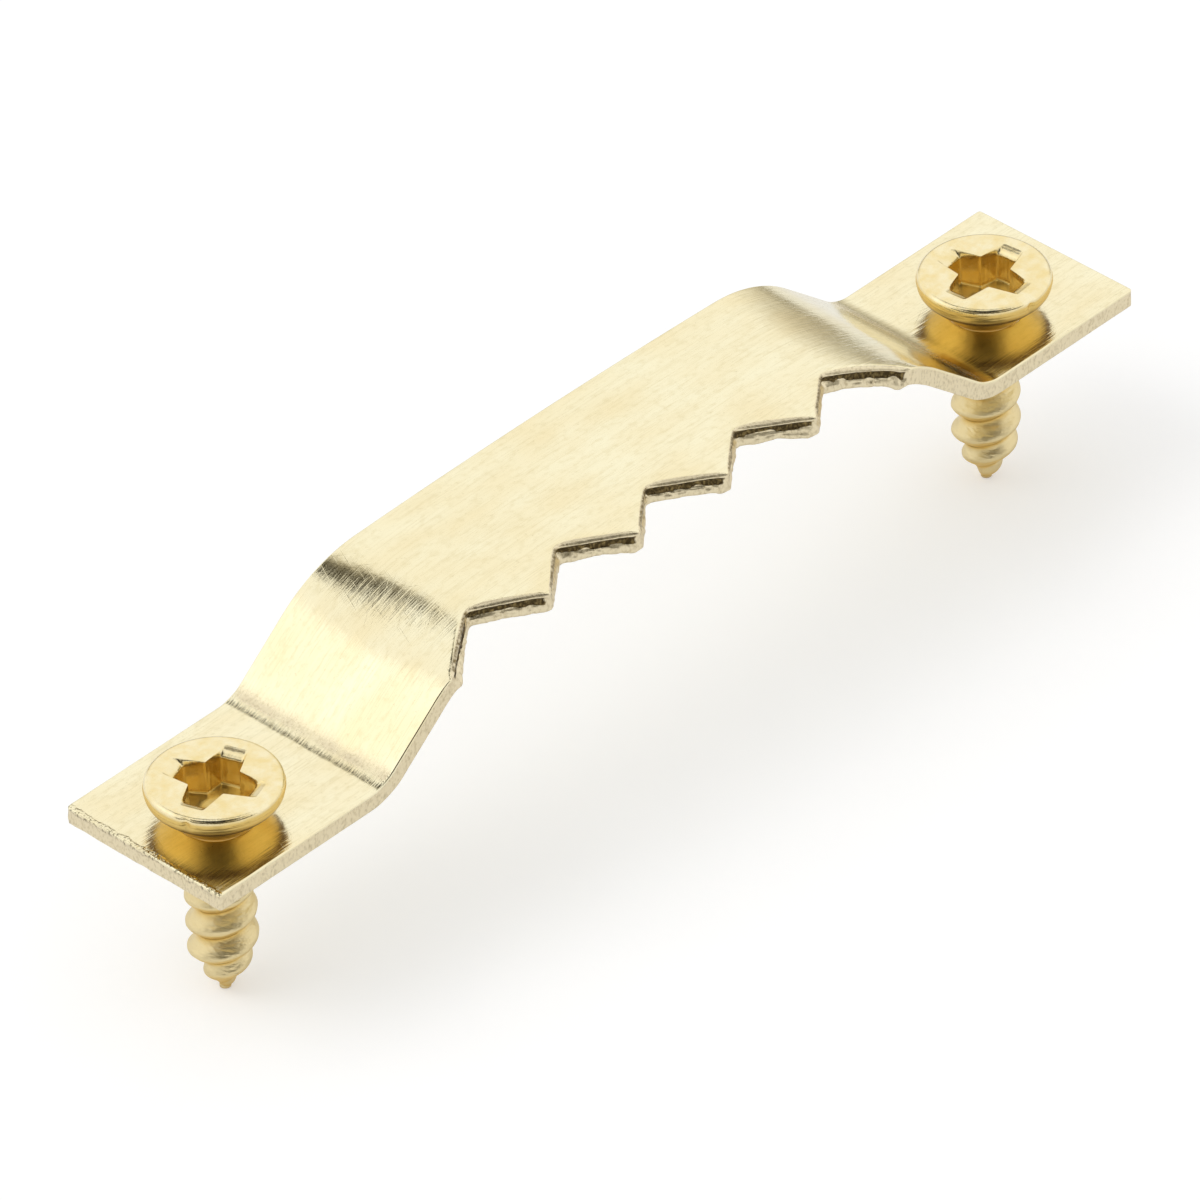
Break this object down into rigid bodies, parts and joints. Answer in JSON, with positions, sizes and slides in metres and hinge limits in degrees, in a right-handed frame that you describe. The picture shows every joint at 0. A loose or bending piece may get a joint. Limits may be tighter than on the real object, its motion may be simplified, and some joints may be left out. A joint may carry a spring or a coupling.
{
  "type": "sawtooth picture hanger",
  "caption": "Bent brass-plated steel strip with V notches along one edge and two countersunk cross-recess wood screws, for hanging a picture frame on a nail.",
  "frame": {"origin": "middle of the strip's length and width, on the plane of the tabs' undersides, where the frame's back lies", "axes": "+X along the strip, -Y the way the notches open, which is down when the picture hangs, +Z away from the picture frame, towards the wall"},
  "size_m": [0.045, 0.0072, 0.0107],
  "materials": {
    "strip_brass": "brass-plated steel, finely brushed along the strip",
    "screw_brass": "brass-plated steel, tumbled bright"
  },
  "bodies": {
    "strip": {"hanger_strip": "strip_brass"},
    "left_screw": {"left_screw": "screw_brass"},
    "right_screw": {"right_screw": "screw_brass"}
  },
  "joints": [
    {"name": "left_screw_lift", "type": "slide", "parent": "strip", "child": "left_screw", "axis": [0, 0, 1], "range_m": [0, 0.008]},
    {"name": "right_screw_lift", "type": "slide", "parent": "strip", "child": "right_screw", "axis": [0, 0, 1], "range_m": [0, 0.008]}
  ]
}
